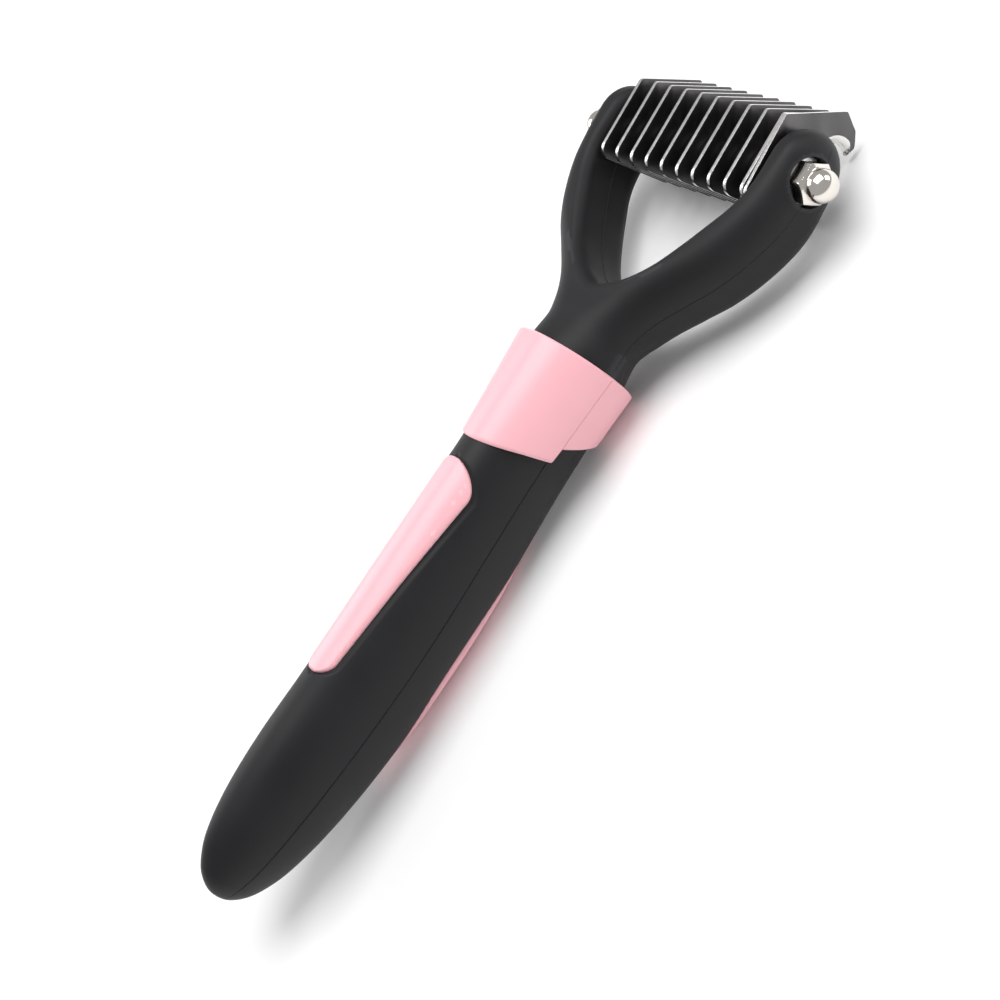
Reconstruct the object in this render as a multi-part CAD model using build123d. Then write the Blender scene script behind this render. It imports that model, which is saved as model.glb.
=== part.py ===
from build123d import *
from math import sqrt
import os

# Undercoat rake: a Y-fork on a two-shell grip, with a pack of hooked blades on a cross axle.
#
# Working frame, in millimetres: the axle line is X (right arm on +X), +Y runs from the
# handle towards the head and +Z is the thumb side, so the hooks point to -Z. At the end
# every sub-part is moved so that the origin lies under the middle of the tool, on the
# surface that it rests on with its hooks down.

# ---- axle, nuts and washers ----
AXLE_R = 2.5
RUNNING_GAP = 0.05
AXLE_HALF = 35.2
AXLE_CHAMFER = 0.5
NUT_SEAT = 30.5
NUT_ACROSS_FLATS = 8.0
NUT_HEX_HEIGHT = 3.6
NUT_CORNER_DROP = 0.55
NUT_CORNER_TAPER = 0.95
NUT_DOME_R = 3.4
NUT_DOME_LIFT = 1.0
NUT_BORE_DEPTH = 6.0
NUT_TURN = 0.0
WASHER_R = 4.7
WASHER_THICK = 0.8
BUSH_R = 4.0

# ---- blade pack ----
BLADE_PITCH = 5.0
BLADE_THICK = 0.8
PITCHED_BLADES = 10
BLADE_SET_ANGLE = 2.0
LAST_BLADE_TWIST = 2.4
SPACER_R = 4.0
SHIM_THICK = 0.2
END_GAP = 0.05

# ---- blade outline, measured from the axle: u towards the hooks, v towards the head ----
BACK_U = -6.6
TOP_CORNER_V = 9.85
TOP_SLOPE = 0.588
HEAD_CORNER_U = 7.3
CROWN = [(11.7, 16.0), (13.5, 13.2)]
TIP_U = 13.2
TIP_V = 12.0
NOTCH_U = 10.6
NOTCH_V = 8.0
NOTCH_R = 4.5
BEVEL_WIDTH = 1.2
BEVEL_DEPTH = 0.6
TOE_U = 14.2
TOE_TOP_V = 2.4
BOTTOM_V = -8.94
BOTTOM_SLOPE = 0.231
BACK_FOOT_R = 2.6
BACK_TOP_R = 1.1
HEAD_CORNER_R = 0.8
TOE_FOOT_R = 1.5
TOE_TOP_R = 1.0

# ---- fork ----
ARM_INNER_X = 24.4
ARM_OUTER_X = 32.5
ARM_FRONT_Z = 7.4
ARM_BACK_Z = -9.2
ARM_END_Y = 1.9
CROTCH_Y = -34.4
NECK_HALF_X = 11.2
NECK_END_Y = -56.0
ARM_ROOT_Y = -37.5
NECK_Z = -0.4
NECK_OVAL = (11.25, 10.4)
NECK_SECTIONS = [
    (NECK_END_Y, 0.0, 0.0),
    (-50.2, 0.0, 0.0),
    (-44.0, 0.4, -0.9),
    (ARM_ROOT_Y, 11.0, 5.0),
]
ROOT_Y = -43.0
ROOT_Z = (-9.6, 8.5)
NECK_BLANK_Z = (-11.0, 10.2)
ARM_BEND_Y = -25.0
ARM_TOP_Y = 12.0
OUTER_STRAIGHT_Y = -4.0
OUTER_WALL = [
    (NECK_HALF_X, -44.5),
    (12.4, -40.2),
    (14.8, -36.4),
    (19.3, -31.2),
    (24.2, -25.8),
    (28.5, -19.2),
    (31.5, -12.0),
]
INNER_STRAIGHT_Y = -8.6
INNER_WALL = [
    (22.2, -12.0),
    (19.0, -17.4),
    (15.3, -23.0),
    (11.0, -28.2),
    (5.8, -32.4),
]
OUTER_ROUND = 3.4
INNER_ROUND = 2.6
RECESS_R = 5.0
RECESS_FLOOR_X = NUT_SEAT - WASHER_THICK
TANG_HALF_X = 6.0
TANG_HALF_Z = 5.0
TANG_END_Y = -98.0
TANG_ROUND = 2.0

# ---- handle: stations of (y, centre z, half width, half depth) ----
GRIP_STATIONS = [
    (-58.0, -0.2, 9.6, 12.7),
    (-75.0, -0.1, 9.0, 13.0),
    (-93.0, 0.0, 9.0, 13.8),
    (-108.0, 0.2, 9.3, 14.3),
    (-121.0, 0.7, 9.4, 14.3),
    (-134.0, 1.6, 9.3, 14.2),
    (-147.0, 2.9, 9.1, 13.8),
    (-159.0, 4.1, 8.4, 12.6),
    (-169.0, 5.0, 7.0, 10.4),
    (-175.5, 5.4, 4.9, 7.2),
    (-179.2, 5.5, 1.8, 2.6),
]
SKIN = 2.0
SHELL_WALL = 2.2
PART_GAP = 0.1
COLLAR_RIM_Y = -50.2
COLLAR_END_Y = -77.0
COLLAR_RIM = (12.6, 14.1)
COLLAR_END = (10.0, 13.35)
COLLAR_RIM_Z = -0.5
COLLAR_END_Z = -0.1
COLLAR_RIM_ROUND = 0.7
COLLAR_ZONE_Z = 15.0
COLLAR_PARTING_Z = -0.2
COLLAR_FRONT_EDGE = [(-70.9, COLLAR_PARTING_Z), (-72.9, 7.0), (-75.6, COLLAR_ZONE_Z)]
COLLAR_BACK_EDGE = [(-60.4, -COLLAR_ZONE_Z), (-64.4, -7.0), (-67.6, COLLAR_PARTING_Z)]
BEYOND_BUTT_Y = -200.0
NECK_GAP = 0.25

# ---- pads and fasteners ----
PAD_TOP_Y = -79.9
PAD_WIDE_R = 6.5
PAD_NARROW_R = 4.0
PAD_LENGTH = 51.0
PAD_PROUD = 0.4
STRIP_TOP_Y = -82.0
STRIP_END_Y = -148.0
STRIP_HALF_X = 6.4
SCREW_YS = (-104.0, -128.0, -146.0)
SCREW_HEAD_R = 2.6
SCREW_SHANK_R = 1.3
SCREW_SINK = 3.0
SCREW_HEAD_HIGH = 1.4
SCREW_LENGTH = 15.0
SCREW_BOSS_R = 3.6
DRIVE_SPAN = 3.2
DRIVE_WIDTH = 0.7
DRIVE_DEPTH = 1.2
TANG_PIN_Y = -88.0
TANG_PIN_R = 1.5
TANG_PIN_HALF = 8.5
REACH = 60.0


def ring(radius, bore, left, right):
    """A plain ring about the axle line, between two X positions."""
    blank = Pos(left, 0, 0) * extrude(Plane.YZ * Circle(radius), right - left)
    return blank - Pos(left - 1, 0, 0) * extrude(Plane.YZ * Circle(bore), right - left + 2)


def rod(radius, left, right):
    """A plain rod along the axle line."""
    return Pos(left, 0, 0) * extrude(Plane.YZ * Circle(radius), right - left)


def mirrored(shape):
    """The same shape on the left-hand side."""
    return mirror(shape, about=Plane.YZ)


# ---------------------------------------------------------------- blades and spacers
def blade_point(u, v):
    """Sketch coordinates on the YZ plane of a point u towards the hooks, v towards the head."""
    return (v, -u)


def blade_outline():
    """The hooked plate: straight back, sloped head, curled hook, round notch and square toe."""
    head_v = TOP_CORNER_V + TOP_SLOPE * (HEAD_CORNER_U - BACK_U)
    toe_v = BOTTOM_V + BOTTOM_SLOPE * (TOE_U - BACK_U)
    crown = Spline(
        blade_point(HEAD_CORNER_U, head_v),
        blade_point(*CROWN[0]),
        blade_point(*CROWN[1]),
        blade_point(TIP_U, TIP_V),
    )
    edges = [
        Line(blade_point(BACK_U, BOTTOM_V), blade_point(BACK_U, TOP_CORNER_V)),
        Line(blade_point(BACK_U, TOP_CORNER_V), blade_point(HEAD_CORNER_U, head_v)),
        crown,
        Line(blade_point(TIP_U, TIP_V), blade_point(NOTCH_U, NOTCH_V)),
        Line(blade_point(NOTCH_U, NOTCH_V), blade_point(TOE_U, TOE_TOP_V)),
        Line(blade_point(TOE_U, TOE_TOP_V), blade_point(TOE_U, toe_v)),
        Line(blade_point(TOE_U, toe_v), blade_point(BACK_U, BOTTOM_V)),
    ]
    plate = make_face(Wire(edges))
    plate -= Pos(*blade_point(NOTCH_U, NOTCH_V)) * Circle(NOTCH_R)
    corner_radii = [
        (blade_point(BACK_U, BOTTOM_V), BACK_FOOT_R),
        (blade_point(BACK_U, TOP_CORNER_V), BACK_TOP_R),
        (blade_point(HEAD_CORNER_U, head_v), HEAD_CORNER_R),
        (blade_point(TOE_U, toe_v), TOE_FOOT_R),
        (blade_point(TOE_U, TOE_TOP_V), TOE_TOP_R),
    ]
    for place, radius in corner_radii:
        corner = plate.vertices().sort_by_distance((*place, 0))[0]
        plate = fillet(corner, radius)
    return plate


def blade():
    """One flat blade, centred on X = 0 at its set angle, bevelled inside the hook."""
    solid = Pos(-BLADE_THICK / 2, 0, 0) * extrude(Plane.YZ * blade_outline(), BLADE_THICK)
    solid -= rod(AXLE_R + RUNNING_GAP, -BLADE_THICK, BLADE_THICK)
    bevel = Solid.make_cone(NOTCH_R, NOTCH_R + BEVEL_WIDTH, BEVEL_DEPTH, plane=Plane.YZ)
    bevel = Pos(BLADE_THICK / 2 - BEVEL_DEPTH, NOTCH_V, -NOTCH_U) * bevel
    toe_side = Pos(0, NOTCH_V - REACH / 2 - 2, -NOTCH_U) * Box(10, REACH, REACH)
    solid -= bevel - toe_side
    return Rot(BLADE_SET_ANGLE, 0, 0) * solid


def blade_pack():
    """Ten evenly pitched blades with spacers, and a last one close against the tenth."""
    nodes = {}
    plate = blade()
    first_x = -BLADE_PITCH * (PITCHED_BLADES - 1) / 2
    for k in range(PITCHED_BLADES):
        x = first_x + k * BLADE_PITCH
        nodes[f"blade_{k + 1:02d}"] = Pos(x, 0, 0) * plate
        if k < PITCHED_BLADES - 1:
            left = x + BLADE_THICK / 2
            right = left + BLADE_PITCH - BLADE_THICK
            nodes[f"spacer_{k + 1:02d}"] = ring(SPACER_R, AXLE_R + RUNNING_GAP, left, right)
    face = -first_x + BLADE_THICK / 2
    last_x = face + SHIM_THICK + BLADE_THICK / 2
    nodes["shim_washer"] = ring(SPACER_R, AXLE_R + RUNNING_GAP, face, face + SHIM_THICK)
    nodes[f"blade_{PITCHED_BLADES + 1}"] = Pos(last_x, 0, 0) * Rot(LAST_BLADE_TWIST, 0, 0) * plate
    right_face = last_x + BLADE_THICK / 2
    side = ARM_INNER_X - END_GAP
    nodes["end_spacer_left"] = ring(SPACER_R, AXLE_R + RUNNING_GAP, -side, -face)
    nodes["end_spacer_right"] = ring(SPACER_R, AXLE_R + RUNNING_GAP, right_face, side)
    return nodes


# ---------------------------------------------------------------- axle hardware
def axle():
    """The M5 stud: a plain rod, chamfered at both ends."""
    stud = rod(AXLE_R, -AXLE_HALF, AXLE_HALF)
    return chamfer(stud.edges().filter_by(GeomType.CIRCLE), AXLE_CHAMFER)


def cap_nut():
    """The right-hand acorn nut: chamfered hexagon, short neck, dome and blind bore."""
    corner_r = NUT_ACROSS_FLATS / sqrt(3)
    front = NUT_SEAT + NUT_HEX_HEIGHT
    hexagon = extrude(Plane.YZ * RegularPolygon(corner_r, 6, rotation=NUT_TURN), NUT_HEX_HEIGHT)
    hexagon = Pos(NUT_SEAT, 0, 0) * hexagon
    inner_r = corner_r - NUT_CORNER_TAPER
    crown = Polyline(
        (NUT_SEAT, 0),
        (NUT_SEAT, corner_r + 0.1),
        (front - NUT_CORNER_DROP, corner_r + 0.1),
        (front, inner_r),
        (front, 0),
        (NUT_SEAT, 0),
    )
    hexagon &= revolve(Plane.XY * make_face(crown), Axis.X)
    centre_x = front + NUT_DOME_LIFT
    dome = rod(NUT_DOME_R, front - 1, centre_x) + Pos(centre_x, 0, 0) * Sphere(NUT_DOME_R)
    dome &= Pos(front - 1, 0, 0) * extrude(Plane.YZ * Circle(NUT_DOME_R), NUT_DOME_R * 3)
    nut = hexagon + dome
    return nut - rod(AXLE_R + RUNNING_GAP, NUT_SEAT - 1, NUT_SEAT + NUT_BORE_DEPTH)


# ---------------------------------------------------------------- fork
def fork_plan():
    """Half of the fork seen from the thumb side, from the neck out along the right arm."""
    outer = Spline(
        (NECK_HALF_X, NECK_END_Y),
        *OUTER_WALL,
        (ARM_OUTER_X, OUTER_STRAIGHT_Y),
        tangents=[(0, 1), (0, 1)],
    )
    inner = Spline(
        (ARM_INNER_X, INNER_STRAIGHT_Y),
        *INNER_WALL,
        (0, CROTCH_Y),
        tangents=[(0, -1), (-1, 0)],
    )
    edges = [
        outer,
        Line((ARM_OUTER_X, OUTER_STRAIGHT_Y), (ARM_OUTER_X, ARM_TOP_Y)),
        Line((ARM_OUTER_X, ARM_TOP_Y), (ARM_INNER_X, ARM_TOP_Y)),
        Line((ARM_INNER_X, ARM_TOP_Y), (ARM_INNER_X, INNER_STRAIGHT_Y)),
        inner,
        Line((0, CROTCH_Y), (0, NECK_END_Y)),
        Line((0, NECK_END_Y), (NECK_HALF_X, NECK_END_Y)),
    ]
    half = make_face(Wire(edges))
    return half + mirror(half, about=Plane.YZ)


def fork_side():
    """The fork seen from its side: round arm ends, even arms and a slightly deeper neck."""
    middle_z = (ARM_FRONT_Z + ARM_BACK_Z) / 2
    end_r = (ARM_FRONT_Z - ARM_BACK_Z) / 2
    front = Spline(
        (ARM_END_Y, ARM_FRONT_Z),
        (ARM_BEND_Y, ARM_FRONT_Z + 0.1),
        (ROOT_Y, ROOT_Z[1]),
        (NECK_END_Y, NECK_BLANK_Z[1]),
        tangents=[(-1, 0), (-1, 0.1)],
    )
    back = Spline(
        (NECK_END_Y, NECK_BLANK_Z[0]),
        (ROOT_Y, ROOT_Z[0]),
        (ARM_BEND_Y, ARM_BACK_Z),
        (ARM_END_Y, ARM_BACK_Z),
        tangents=[(1, 0.1), (1, 0)],
    )
    end = ThreePointArc(
        (ARM_END_Y, ARM_BACK_Z),
        (ARM_END_Y + end_r, middle_z),
        (ARM_END_Y, ARM_FRONT_Z),
    )
    butt = Line((NECK_END_Y, NECK_BLANK_Z[1]), (NECK_END_Y, NECK_BLANK_Z[0]))
    return make_face(Wire([front, butt, back, end]))


def slim_neck(web):
    """The web with its neck closed down to an oval where it meets the handle."""
    half_x, half_z = NECK_OVAL
    neck = loft([oval(y, NECK_Z, half_x + dx, half_z + dz) for y, dx, dz in NECK_SECTIONS])
    arm_room = Pos(0, REACH / 2 + ARM_ROOT_Y, 0) * Box(2 * REACH, REACH, REACH)
    return (web & arm_room) + (web & neck)


def rounded_web():
    """The fork's plan and side outlines combined, with full rounded edges."""
    slab = Pos(0, 0, -REACH / 2) * extrude(fork_plan(), REACH)
    web = Pos(-REACH, 0, 0) * extrude(Plane.YZ * fork_side(), 2 * REACH)
    body = slab & web

    def is_rim(edge):
        return edge.geom_type in (GeomType.BSPLINE, GeomType.CIRCLE)

    def is_inner(edge):
        box = edge.bounding_box()
        return max(-box.min.X, box.max.X) < ARM_INNER_X + 0.1 and box.max.Y > NECK_END_Y + 10

    outer_rim = [edge for edge in body.edges() if is_rim(edge) and not is_inner(edge)]
    body = fillet(outer_rim, OUTER_ROUND)
    inner_rim = [edge for edge in body.edges() if is_rim(edge) and is_inner(edge)]
    return fillet(inner_rim, INNER_ROUND)


def fork():
    """The moulded Y-fork with its tang, bored for the bushes and recessed for the nuts."""
    body = slim_neck(rounded_web())
    tang = Box(2 * TANG_HALF_X, NECK_END_Y - TANG_END_Y + 1, 2 * TANG_HALF_Z)
    tang = fillet(tang.edges().filter_by(Axis.Y), TANG_ROUND)
    body += Pos(0, (NECK_END_Y + TANG_END_Y + 1) / 2, NECK_Z) * tang
    body -= tang_pin()
    for bore in (rod(BUSH_R, 0, REACH), rod(RECESS_R, RECESS_FLOOR_X, REACH)):
        body -= bore
        body -= mirrored(bore)
    return body


# ---------------------------------------------------------------- handle
def oval(y, z, half_x, half_z):
    """An elliptical section square to the handle."""
    return Pos(0, y, z) * (Plane.XZ * Ellipse(half_x, half_z))


def grip_body(inset):
    """The whole handle below the neck, inset from its outer surface; a deep inset ends short."""
    stations = [(y, z, a - inset, b - inset) for y, z, a, b in GRIP_STATIONS if a - inset > 1]
    return loft([oval(*station) for station in stations])


def collar_body():
    """The flared sleeve at the head end of the handle."""
    rim = oval(COLLAR_RIM_Y, COLLAR_RIM_Z, *COLLAR_RIM)
    end = oval(COLLAR_END_Y, COLLAR_END_Z, *COLLAR_END)
    sleeve = loft([rim, end])
    return fillet(sleeve.edges().sort_by(Axis.Y)[-1], COLLAR_RIM_ROUND)


def front_zone():
    """Everything on the thumb side of the curved parting surface."""
    line = Spline([(y, z) for y, z, a, b in GRIP_STATIONS])
    start_z = GRIP_STATIONS[0][1]
    end_z = GRIP_STATIONS[-1][1]
    edges = [
        Line((0, start_z), line @ 0),
        line,
        Line(line @ 1, (BEYOND_BUTT_Y, end_z)),
        Line((BEYOND_BUTT_Y, end_z), (BEYOND_BUTT_Y, REACH)),
        Line((BEYOND_BUTT_Y, REACH), (0, REACH)),
        Line((0, REACH), (0, start_z)),
    ]
    return Pos(-REACH, 0, 0) * extrude(Plane.YZ * make_face(Wire(edges)), 2 * REACH)


def collar_zone():
    """Where the sleeve shows: its end edge dips on the thumb side and steps up behind."""
    front_edge = Spline(COLLAR_FRONT_EDGE)
    back_edge = Spline(COLLAR_BACK_EDGE)
    edges = [
        Line((0, -COLLAR_ZONE_Z), COLLAR_BACK_EDGE[0]),
        back_edge,
        Line(COLLAR_BACK_EDGE[-1], COLLAR_FRONT_EDGE[0]),
        front_edge,
        Line(COLLAR_FRONT_EDGE[-1], (0, COLLAR_ZONE_Z)),
        Line((0, COLLAR_ZONE_Z), (0, -COLLAR_ZONE_Z)),
    ]
    return Pos(-REACH, 0, 0) * extrude(Plane.YZ * make_face(Wire(edges)), 2 * REACH)


def pad_column(shrink):
    """An upright column with the thumb pad's long teardrop outline."""
    wide = Pos(0, PAD_TOP_Y - PAD_WIDE_R) * Circle(PAD_WIDE_R - shrink)
    narrow = Pos(0, PAD_TOP_Y - PAD_LENGTH + PAD_NARROW_R) * Circle(PAD_NARROW_R - shrink)
    outline = make_hull(wide.edges() + narrow.edges())
    return extrude(outline, REACH)


def strip_column(shrink):
    """A column below the handle with the back strip's pointed oval outline."""
    top = STRIP_TOP_Y - 2 * shrink
    end = STRIP_END_Y + 2 * shrink
    middle = (top + end) / 2
    right = ThreePointArc((0, top), (STRIP_HALF_X - shrink, middle), (0, end))
    left = ThreePointArc((0, end), (shrink - STRIP_HALF_X, middle), (0, top))
    return Pos(0, 0, -REACH) * extrude(make_face(Wire([right, left])), REACH)


def tang_pocket():
    """The space for the neck and tang inside the handle."""
    neck_x = NECK_OVAL[0] + NECK_GAP
    neck_z = NECK_OVAL[1] + NECK_GAP
    neck = loft([oval(y, NECK_Z, neck_x, neck_z) for y in (COLLAR_RIM_Y + 5, NECK_END_Y - NECK_GAP)])
    length = NECK_END_Y - TANG_END_Y + 2
    tang = Box(2 * TANG_HALF_X + 2 * PART_GAP, length, 2 * TANG_HALF_Z + 2 * PART_GAP)
    return neck + Pos(0, NECK_END_Y - length / 2 + 1, NECK_Z) * tang


def hollow():
    """The cavity that the two shells leave behind the tang."""
    stations = GRIP_STATIONS[4:9]
    inset = SKIN + SHELL_WALL
    return loft([oval(y, z, a - inset, b - inset) for y, z, a, b in stations])


def back_surface(y):
    """Height of the handle's back at its middle, between the two nearest stations."""
    for (y0, z0, a0, b0), (y1, z1, a1, b1) in zip(GRIP_STATIONS, GRIP_STATIONS[1:]):
        if y1 <= y <= y0:
            share = (y - y0) / (y1 - y0)
            return z0 - b0 + share * ((z1 - b1) - (z0 - b0))
    raise ValueError("station outside the handle")


def post(y, radius, low, high):
    """An upright cylinder on the middle plane."""
    return Pos(0, y, (low + high) / 2) * Cylinder(radius, high - low)


def screw_seat(y):
    """Height of the face that a shell screw's head bears on."""
    return back_surface(y) + SKIN + SCREW_SINK


def shell_screw(y):
    """A pan-head screw from the back, up through both shells, with a cross drive."""
    seat = screw_seat(y)
    low = seat - SCREW_HEAD_HIGH
    head = post(y, SCREW_HEAD_R, low, seat)
    shank = post(y, SCREW_SHANK_R, seat, seat + SCREW_LENGTH)
    slot = Box(DRIVE_SPAN, DRIVE_WIDTH, DRIVE_DEPTH)
    drive = Pos(0, y, low) * (slot + Rot(0, 0, 90) * slot)
    return head + shank - drive


def screw_hole(y):
    """Counterbore and shank hole for one shell screw."""
    seat = screw_seat(y)
    counterbore = post(y, SCREW_HEAD_R + PART_GAP, seat - REACH, seat)
    return counterbore + post(y, SCREW_SHANK_R, seat - 1, seat + SCREW_LENGTH)


def hard_shells(core, sleeve):
    """Both hard shells in one piece: core and collar, with pocket, cavity and holes."""
    cavity = hollow()
    for y in SCREW_YS:
        cavity -= post(y, SCREW_BOSS_R, -REACH, REACH)
    hard = core + sleeve - tang_pocket() - cavity
    for y in SCREW_YS:
        hard -= screw_hole(y)
    return hard - tang_pin()


def tang_pin():
    """The steel pin through the fork's tang, held between the shells."""
    return post(TANG_PIN_Y, TANG_PIN_R, -TANG_PIN_HALF, TANG_PIN_HALF)


def handle_parts():
    """The two hard shells, two soft grips, thumb pad, back strip, screws and tang pin."""
    core = grip_body(SKIN)
    front = front_zone()
    sleeve_zone = collar_zone()
    sleeve = collar_body() & sleeve_zone
    hard = hard_shells(core, sleeve)
    soft = grip_body(0) - core - sleeve_zone
    raised = grip_body(-PAD_PROUD) - core
    return {
        "handle_shell_front": hard & front,
        "handle_shell_back": hard - front,
        "grip_front": (soft & front) - pad_column(0),
        "grip_back": (soft - front) - strip_column(0),
        "thumb_pad": raised & pad_column(PART_GAP),
        "back_strip": raised & strip_column(PART_GAP),
        "shell_screws": Compound([shell_screw(y) for y in SCREW_YS]),
        "tang_pin": tang_pin(),
    }


# ---------------------------------------------------------------- assembly
def assemble():
    """Every sub-part by node name, in the working frame."""
    bush = ring(BUSH_R, AXLE_R + RUNNING_GAP, ARM_INNER_X, RECESS_FLOOR_X)
    washer = ring(WASHER_R, AXLE_R + RUNNING_GAP, RECESS_FLOOR_X, NUT_SEAT)
    nut = cap_nut()
    nodes = {
        "fork": fork(),
        "axle_stud": axle(),
        "arm_bush_right": bush,
        "arm_bush_left": mirrored(bush),
        "washer_right": washer,
        "washer_left": mirrored(washer),
        "cap_nut_right": nut,
        "cap_nut_left": mirrored(nut),
    }
    nodes.update(blade_pack())
    nodes.update(handle_parts())
    return nodes


def home_position(shapes):
    """The move that puts the origin under the middle of all the shapes, at their lowest point."""
    boxes = [shape.bounding_box() for shape in shapes]
    middle_x = (min(box.min.X for box in boxes) + max(box.max.X for box in boxes)) / 2
    middle_y = (min(box.min.Y for box in boxes) + max(box.max.Y for box in boxes)) / 2
    return Pos(-middle_x, -middle_y, -min(box.min.Z for box in boxes))


def main():
    os.makedirs("parts", exist_ok=True)
    nodes = assemble()
    home = home_position(nodes.values())
    for name, shape in nodes.items():
        export_step(home * shape, f"parts/{name}.step")
    print("axle centre in the part frame (mm):", home.position)


main()
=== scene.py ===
from math import acos, atan2, cos, pi, radians, sin, sqrt, tan

import bmesh
import bpy
from mathutils import Matrix, Vector
from mathutils.bvhtree import BVHTree


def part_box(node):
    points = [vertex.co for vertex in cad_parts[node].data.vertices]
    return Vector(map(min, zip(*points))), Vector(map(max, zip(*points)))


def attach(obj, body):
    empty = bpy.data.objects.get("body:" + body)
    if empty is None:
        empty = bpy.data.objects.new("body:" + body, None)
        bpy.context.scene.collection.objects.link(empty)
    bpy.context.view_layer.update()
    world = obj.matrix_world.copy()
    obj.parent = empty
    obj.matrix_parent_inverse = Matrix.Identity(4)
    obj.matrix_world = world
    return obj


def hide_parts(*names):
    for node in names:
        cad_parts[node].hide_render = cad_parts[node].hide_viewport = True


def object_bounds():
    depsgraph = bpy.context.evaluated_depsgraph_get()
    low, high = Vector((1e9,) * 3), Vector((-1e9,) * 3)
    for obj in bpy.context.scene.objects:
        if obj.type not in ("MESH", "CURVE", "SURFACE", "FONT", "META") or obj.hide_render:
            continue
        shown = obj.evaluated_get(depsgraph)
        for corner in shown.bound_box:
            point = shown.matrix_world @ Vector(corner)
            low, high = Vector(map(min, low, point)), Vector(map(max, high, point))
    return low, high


# The undercoat rake's looks. Shapes are worked out in millimetres from the axle's centre:
# x to the right arm, y towards the head, z out of the thumb side. mesh_piece() turns them
# into metres in the frame of the part.

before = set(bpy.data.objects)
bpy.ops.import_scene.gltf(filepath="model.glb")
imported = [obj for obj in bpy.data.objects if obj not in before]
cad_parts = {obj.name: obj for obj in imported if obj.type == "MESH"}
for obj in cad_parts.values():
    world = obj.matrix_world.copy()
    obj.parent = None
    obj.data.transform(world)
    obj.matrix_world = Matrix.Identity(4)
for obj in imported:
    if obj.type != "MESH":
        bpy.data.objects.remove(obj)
cad_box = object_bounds()

MM = 0.001
STUD_LOW, STUD_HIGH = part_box("axle_stud")
AXLE = (STUD_LOW + STUD_HIGH) / 2
BLADE_NAMES = [f"blade_{k:02d}" for k in range(1, 12)]

# ---- blades ----
BACK_U = -6.6
TOP_CORNER_V = 9.85
TOP_SLOPE = 0.588
HEAD_CORNER_U = 7.3
TIP = (13.2, 12.0)
NOTCH = (10.6, 8.0)
NOTCH_R = 4.5
TOE_U = 14.2
TOE_TOP_V = 2.4
BOTTOM_V = -8.94
BOTTOM_SLOPE = 0.231
BORE_R = 2.55
BLADE_SET_ANGLE = 2.0
LAST_BLADE_TWIST = 2.4
GROUND_WIDTH = 1.2
GROUND_DEPTH = 0.6

# ---- fork: outer and inner points of half its plan, from the arm's end to the neck's end ----
FORK_PLAN = [
    ((32.6, 1.9), (24.4, 1.9)),
    ((32.5, -5.5), (24.4, -5.5)),
    ((31.4, -12.0), (22.9, -10.8)),
    ((28.4, -19.2), (19.8, -16.1)),
    ((24.2, -25.8), (16.4, -21.4)),
    ((19.3, -31.2), (12.2, -26.9)),
    ((15.4, -35.6), (7.4, -31.2)),
    ((12.9, -39.4), (3.2, -33.5)),
    ((11.7, -42.5), (0.0, -34.4)),
    ((11.2, -45.5), (0.0, -40.5)),
    ((11.2, -50.3), (0.0, -47.5)),
    ((10.5, -55.0), (0.0, -55.0)),
]
CROTCH = 8
MOULD_Z = -0.9
FRONT_Z = [(-60.0, 10.0), (-50.0, 10.0), (-43.0, 8.5), (-36.0, 7.4), (-20.0, 7.4), (12.0, 7.4)]
BACK_Z = [(-60.0, -10.8), (-50.0, -10.8), (-43.0, -9.6), (-36.0, -9.2), (-20.0, -9.2), (12.0, -9.2)]
FRONT_ROUND = [(0, 4.6), (1.5, 5.6), (5, 5.8), (7, 7.0), (8, 8.6), (9, 10.2), (11, 10.4)]
BACK_ROUND = [(0, 4.6), (1.5, 3.4), (5, 3.4), (7, 5.0), (8, 7.5), (9, 10.2), (11, 10.4)]
BACK_RISE = [(0, 1.0), (1.5, 0.5), (5, 0.5), (7, 0.7), (8, 0.9), (9, 1.0), (11, 1.0)]
INNER_ROUND = 2.3
INNER_RISE = 0.39
BEYOND_CROTCH = (-3.2, -33.5)
FLASH_R = 0.11
FORK_EDGE = 0.3
ROWS_PER_STATION = 10
END_ROWS = 33
FORK_BORE_R = 4.02
NUT_RECESS_R = 5.0
NUT_RECESS_X = 29.7
TANG_X = (-5.9, 5.9)
TANG_Y = (-97.9, -54.5)
TANG_Z = (-5.3, 4.5)
TANG_ROUND = 1.5

# ---- cap nuts ----
NUT_ACROSS_FLATS = 8.0
NUT_HEX_HEIGHT = 3.6
NUT_DOME_R = 3.4
NUT_DOME_LIFT = 1.0
NUT_TURN = 0.0

# ---- handle: stations of (y, centre z, half width, half depth) ----
BUTT_Y = -179.7
GRIP_STATIONS = [
    (-58.0, -0.2, 9.6, 12.7),
    (-75.0, -0.1, 9.0, 13.0),
    (-93.0, 0.0, 9.0, 13.8),
    (-108.0, 0.2, 9.3, 14.3),
    (-121.0, 0.7, 9.4, 14.3),
    (-134.0, 1.6, 9.3, 14.2),
    (-147.0, 2.9, 9.1, 13.8),
    (-159.0, 4.1, 8.4, 12.6),
    (-169.0, 5.0, 7.0, 10.4),
    (-175.5, 5.4, 4.9, 7.2),
    (-179.2, 5.5, 1.9, 2.8),
    (BUTT_Y, 5.5, 0.0, 0.0),
]
SKIN = 1.8
RIM_Y = -50.2
COLLAR_END_Y = -77.0
COLLAR_RIM = (12.6, 14.1)
COLLAR_END = (10.0, 13.35)
COLLAR_RIM_Z = -0.5
COLLAR_WALL = 1.3
COLLAR_EDGE = [
    (-15.0, -60.4),
    (-7.0, -64.4),
    (-0.2, -67.6),
    (-0.2, -70.9),
    (7.0, -72.9),
    (15.0, -75.6),
]
PAD_TOP_Y = -79.9
PAD_END_Y = -130.9
PAD_WIDE_R = 6.5
PAD_NARROW_R = 4.0
PAD_PROUD = 0.45
STRIP_TOP_Y = -82.0
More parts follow.
